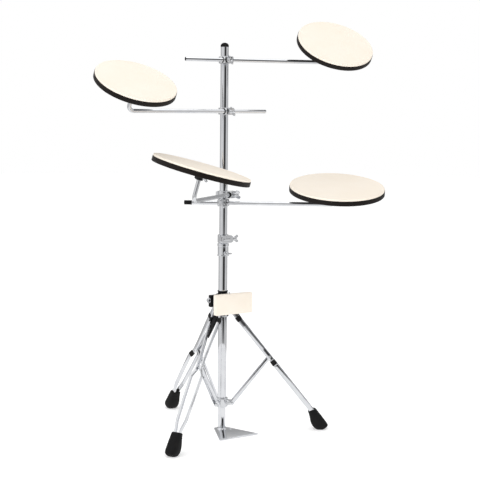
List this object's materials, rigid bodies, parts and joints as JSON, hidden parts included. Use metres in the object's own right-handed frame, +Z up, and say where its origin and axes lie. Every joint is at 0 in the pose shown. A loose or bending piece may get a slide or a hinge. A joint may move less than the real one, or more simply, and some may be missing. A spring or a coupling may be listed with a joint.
{
  "type": "drum practice pad set",
  "caption": "Drum practice set: round rubber-faced pads on bent rods and a rectangular kick pad, clamped to a telescoping mast on a folding tripod with a pedal plate.",
  "frame": {"origin": "floor level, on the mast axis: the centre of the foot plate under the post", "axes": "+Z up along the mast; -Y towards the player, the way the kick pad faces; +X to the player's right"},
  "size_m": [0.9613, 0.7468, 1.3487],
  "materials": {
    "chrome": "bright chrome plate",
    "steel": "plain steel back plate",
    "cream_rubber": "fine matt gum rubber",
    "black_wood": "black-stained plywood",
    "black_plastic": "moulded black",
    "black_metal": "black powder coat",
    "black_rubber": "matt black rubber"
  },
  "bodies": {
    "stand": {"lower_tube": "chrome", "foot_post": "chrome", "foot_plate": "chrome", "upper_collar": "chrome", "tube_sleeve": "chrome"},
    "mast": {"upper_tube": "chrome", "mast_cap": "black_rubber"},
    "sleeve_screw": {"tube_sleeve_wing": "chrome"},
    "memory_lock": {"memory_lock": "chrome"},
    "memory_lock_bolt": {"memory_lock_wing": "chrome"},
    "tom_high_collar": {"tom_high_bush": "black_plastic"},
    "tom_high_clamp": {"tom_high_clamp": "chrome"},
    "tom_high_rod_liner": {"tom_high_rod_bush": "black_plastic"},
    "tom_high_rod": {"tom_high_rod": "chrome"},
    "tom_high_pad": {"tom_high_bracket": "black_metal", "tom_high_board": "black_wood", "tom_high_rubber": "cream_rubber"},
    "tom_high_clamp_screw": {"tom_high_wing": "chrome"},
    "tom_high_pad_screw": {"tom_high_bracket_wing": "chrome"},
    "tom_mid_collar": {"tom_mid_bush": "black_plastic"},
    "tom_mid_clamp": {"tom_mid_clamp": "chrome"},
    "tom_mid_rod_liner": {"tom_mid_rod_bush": "black_plastic"},
    "tom_mid_rod": {"tom_mid_rod": "chrome"},
    "tom_mid_pad": {"tom_mid_bracket": "black_metal", "tom_mid_board": "black_wood", "tom_mid_rubber": "cream_rubber"},
    "tom_mid_clamp_screw": {"tom_mid_wing": "chrome"},
    "tom_mid_pad_screw": {"tom_mid_bracket_wing": "chrome"},
    "snare_collar": {"snare_bush": "black_plastic"},
    "snare_clamp": {"snare_clamp": "chrome"},
    "snare_rod_liner": {"snare_rod_bush": "black_plastic"},
    "snare_rod": {"snare_rod": "chrome"},
    "snare_pad": {"snare_bracket": "black_metal", "snare_board": "black_wood", "snare_rubber": "cream_rubber"},
    "snare_clamp_screw": {"snare_wing": "chrome"},
    "snare_pad_screw": {"snare_bracket_wing": "chrome"},
    "floor_collar": {"floor_bush": "black_plastic"},
    "floor_clamp": {"floor_clamp": "chrome"},
    "floor_rod_liner": {"floor_rod_bush": "black_plastic"},
    "floor_rod": {"floor_rod": "chrome"},
    "floor_pad": {"floor_bracket": "black_metal", "floor_board": "black_wood", "floor_rubber": "cream_rubber"},
    "floor_clamp_screw": {"floor_wing": "chrome"},
    "floor_pad_screw": {"floor_bracket_wing": "chrome"},
    "kick_liner": {"kick_liner": "black_plastic"},
    "kick_pad": {"kick_bracket": "black_plastic", "kick_plate": "steel", "kick_rubber": "cream_rubber"},
    "leg_right": {"leg_right": "chrome", "foot_right": "black_rubber"},
    "strut_right": {"strut_right": "chrome"},
    "leg_back": {"leg_back": "chrome", "foot_back": "black_rubber"},
    "strut_back": {"strut_back": "chrome"},
    "leg_left": {"leg_left": "chrome", "foot_left": "black_rubber"},
    "strut_left": {"strut_left": "chrome"},
    "lower_collar": {"lower_collar": "chrome"}
  },
  "joints": [
    {"name": "mast_height", "type": "slide", "parent": "stand", "child": "mast", "axis": [0, 0, 1], "range_m": [0, 0.15]},
    {"name": "memory_lock_height", "type": "slide", "parent": "mast", "child": "memory_lock", "axis": [0, 0, 1], "range_m": [0, 0.05]},
    {"name": "tom_high_height", "type": "slide", "parent": "mast", "child": "tom_high_collar", "axis": [0, 0, 1], "range_m": [-0.1, 0.03]},
    {"name": "tom_high_swivel", "type": "hinge", "parent": "tom_high_collar", "child": "tom_high_clamp", "pos_m": [0, 0, 1.2126], "axis": [0, 0, 1], "range_deg": [-50, 60]},
    {"name": "tom_high_tilt", "type": "hinge", "parent": "tom_high_clamp", "child": "tom_high_rod_liner", "pos_m": [-0.00393, -0.0257, 1.2126], "axis": [0.9885, -0.1513, 0], "range_deg": [-60, 50]},
    {"name": "tom_high_reach", "type": "slide", "parent": "tom_high_rod_liner", "child": "tom_high_rod", "axis": [0.9885, -0.1513, 0], "range_m": [-0.11, 0.09]},
    {"name": "tom_high_pad_turn", "type": "hinge", "parent": "tom_high_rod", "child": "tom_high_pad", "pos_m": [0.35489, -0.08061, 1.2126], "axis": [-0.1053, -0.5841, 0.8048], "range_deg": [-180, 180]},
    {"name": "tom_mid_height", "type": "slide", "parent": "mast", "child": "tom_mid_collar", "axis": [0, 0, 1], "range_m": [-0.08, 0.08]},
    {"name": "tom_mid_swivel", "type": "hinge", "parent": "tom_mid_collar", "child": "tom_mid_clamp", "pos_m": [0, 0, 1.0502], "axis": [0, 0, 1], "range_deg": [-60, 50]},
    {"name": "tom_mid_tilt", "type": "hinge", "parent": "tom_mid_clamp", "child": "tom_mid_rod_liner", "pos_m": [0.00073, -0.02599, 1.0502], "axis": [0.9996, 0.0279, 0], "range_deg": [-50, 50]},
    {"name": "tom_mid_reach", "type": "slide", "parent": "tom_mid_rod_liner", "child": "tom_mid_rod", "axis": [-0.9996, -0.0279, 0], "range_m": [-0.11, 0.09]},
    {"name": "tom_mid_pad_turn", "type": "hinge", "parent": "tom_mid_rod", "child": "tom_mid_pad", "pos_m": [-0.36173, -0.03611, 1.0502], "axis": [0.0311, -0.4886, 0.8719], "range_deg": [-180, 180]},
    {"name": "snare_height", "type": "slide", "parent": "mast", "child": "snare_collar", "axis": [0, 0, 1], "range_m": [0, 0.08]},
    {"name": "snare_swivel", "type": "hinge", "parent": "snare_collar", "child": "snare_clamp", "pos_m": [0, 0, 0.7826], "axis": [0, 0, 1], "range_deg": [-50, 25]},
    {"name": "snare_tilt", "type": "hinge", "parent": "snare_clamp", "child": "snare_rod_liner", "pos_m": [0.01525, -0.02106, 0.7826], "axis": [0.81, 0.5864, 0], "range_deg": [-40, 60]},
    {"name": "snare_reach", "type": "slide", "parent": "snare_rod_liner", "child": "snare_rod", "axis": [-0.81, -0.5864, 0], "range_m": [-0.09, 0.008]},
    {"name": "snare_pad_turn", "type": "hinge", "parent": "snare_rod", "child": "snare_pad", "pos_m": [-0.22266, -0.19328, 0.7826], "axis": [0.2135, -0.1493, 0.9655], "range_deg": [-180, 180]},
    {"name": "floor_height", "type": "slide", "parent": "mast", "child": "floor_collar", "axis": [0, 0, 1], "range_m": [-0.035, 0]},
    {"name": "floor_swivel", "type": "hinge", "parent": "floor_collar", "child": "floor_clamp", "pos_m": [0, 0, 0.7567], "axis": [0, 0, 1], "range_deg": [-20, 60]},
    {"name": "floor_tilt", "type": "hinge", "parent": "floor_clamp", "child": "floor_rod_liner", "pos_m": [-0.01502, -0.02122, 0.7567], "axis": [0.8161, -0.5779, 0], "range_deg": [-40, 60]},
    {"name": "floor_reach", "type": "slide", "parent": "floor_rod_liner", "child": "floor_rod", "axis": [0.8161, -0.5779, 0], "range_m": [-0.1, 0.08]},
    {"name": "floor_pad_turn", "type": "hinge", "parent": "floor_rod", "child": "floor_pad", "pos_m": [0.28172, -0.23133, 0.7567], "axis": [-0.0936, -0.1925, 0.9768], "range_deg": [-180, 180]},
    {"name": "kick_height", "type": "slide", "parent": "stand", "child": "kick_liner", "axis": [0, 0, 1], "range_m": [0, 0.11]},
    {"name": "kick_swivel", "type": "hinge", "parent": "kick_liner", "child": "kick_pad", "pos_m": [0, 0, 0.433], "axis": [0, 0, 1], "range_deg": [-180, 180]},
    {"name": "leg_right_fold", "type": "hinge", "parent": "stand", "child": "leg_right", "pos_m": [0.03002, -0.01596, 0.398], "axis": [0.4695, 0.8829, 0], "range_deg": [0, 23.5]},
    {"name": "strut_right_fold", "type": "hinge", "parent": "leg_right", "child": "strut_right", "pos_m": [0.1372, -0.07295, 0.24539], "axis": [0.4695, 0.8829, 0], "range_deg": [-47.1, 0]},
    {"name": "leg_back_fold", "type": "hinge", "parent": "stand", "child": "leg_back", "pos_m": [-0.00119, 0.03398, 0.398], "axis": [-0.9994, -0.0349, 0], "range_deg": [0, 23.5]},
    {"name": "strut_back_fold", "type": "hinge", "parent": "leg_back", "child": "strut_back", "pos_m": [-0.00542, 0.1553, 0.24539], "axis": [-0.9994, -0.0349, 0], "range_deg": [-47.1, 0]},
    {"name": "leg_left_fold", "type": "hinge", "parent": "stand", "child": "leg_left", "pos_m": [-0.02883, -0.01802, 0.398], "axis": [0.5299, -0.848, 0], "range_deg": [0, 23.5]},
    {"name": "strut_left_fold", "type": "hinge", "parent": "leg_left", "child": "strut_left", "pos_m": [-0.13178, -0.08234, 0.24539], "axis": [0.5299, -0.848, 0], "range_deg": [-47.1, 0]},
    {"name": "lower_collar_slide", "type": "slide", "parent": "stand", "child": "lower_collar", "axis": [0, 0, 1], "range_m": [-0.0717, 0]},
    {"name": "sleeve_screw_turn", "type": "hinge", "parent": "stand", "child": "sleeve_screw", "pos_m": [0, 0, 0.5916], "axis": [0, -1, 0], "range_deg": [-180, 180]},
    {"name": "memory_lock_bolt_turn", "type": "hinge", "parent": "memory_lock", "child": "memory_lock_bolt", "pos_m": [0, -0.02, 0.638], "axis": [1, 0, 0], "range_deg": [-180, 180]},
    {"name": "tom_high_clamp_screw_turn", "type": "hinge", "parent": "tom_high_clamp", "child": "tom_high_clamp_screw", "pos_m": [0, 0, 1.2126], "axis": [-0.1513, -0.9885, 0], "range_deg": [-180, 180]},
    {"name": "tom_high_pad_screw_turn", "type": "hinge", "parent": "tom_high_pad", "child": "tom_high_pad_screw", "pos_m": [0.35039, -0.10561, 1.24704], "axis": [-0.987, 0.1605, -0.0126], "range_deg": [-180, 180]},
    {"name": "tom_mid_clamp_screw_turn", "type": "hinge", "parent": "tom_mid_clamp", "child": "tom_mid_clamp_screw", "pos_m": [0, 0, 1.0502], "axis": [0.0279, -0.9996, 0], "range_deg": [-180, 180]},
    {"name": "tom_mid_pad_screw_turn", "type": "hinge", "parent": "tom_mid_pad", "child": "tom_mid_pad_screw", "pos_m": [-0.35948, -0.07149, 1.11333], "axis": [-0.0244, 0.8717, 0.4894], "range_deg": [-180, 180]},
    {"name": "snare_clamp_screw_turn", "type": "hinge", "parent": "snare_clamp", "child": "snare_clamp_screw", "pos_m": [0, 0, 0.7826], "axis": [0.5864, -0.81, 0], "range_deg": [-180, 180]},
    {"name": "snare_pad_screw_turn", "type": "hinge", "parent": "snare_pad", "child": "snare_pad_screw", "pos_m": [-0.20667, -0.20446, 0.85491], "axis": [0.5682, -0.7849, -0.247], "range_deg": [-180, 180]},
    {"name": "floor_clamp_screw_turn", "type": "hinge", "parent": "floor_clamp", "child": "floor_clamp_screw", "pos_m": [0, 0, 0.7567], "axis": [-0.5779, -0.8161, 0], "range_deg": [-180, 180]},
    {"name": "floor_pad_screw_turn", "type": "hinge", "parent": "floor_pad", "child": "floor_pad_screw", "pos_m": [0.27904, -0.23685, 0.78473], "axis": [0.5648, 0.7977, 0.2113], "range_deg": [-180, 180]}
  ],
  "couplings": [
    {"joint": "strut_right_fold", "follows": "leg_right_fold", "ratio": -2},
    {"joint": "leg_back_fold", "follows": "leg_right_fold", "ratio": 1},
    {"joint": "strut_back_fold", "follows": "leg_right_fold", "ratio": -2},
    {"joint": "leg_left_fold", "follows": "leg_right_fold", "ratio": 1},
    {"joint": "strut_left_fold", "follows": "leg_right_fold", "ratio": -2},
    {"joint": "lower_collar_slide", "follows": "leg_right_fold", "m_per_rad": -0.17431}
  ]
}
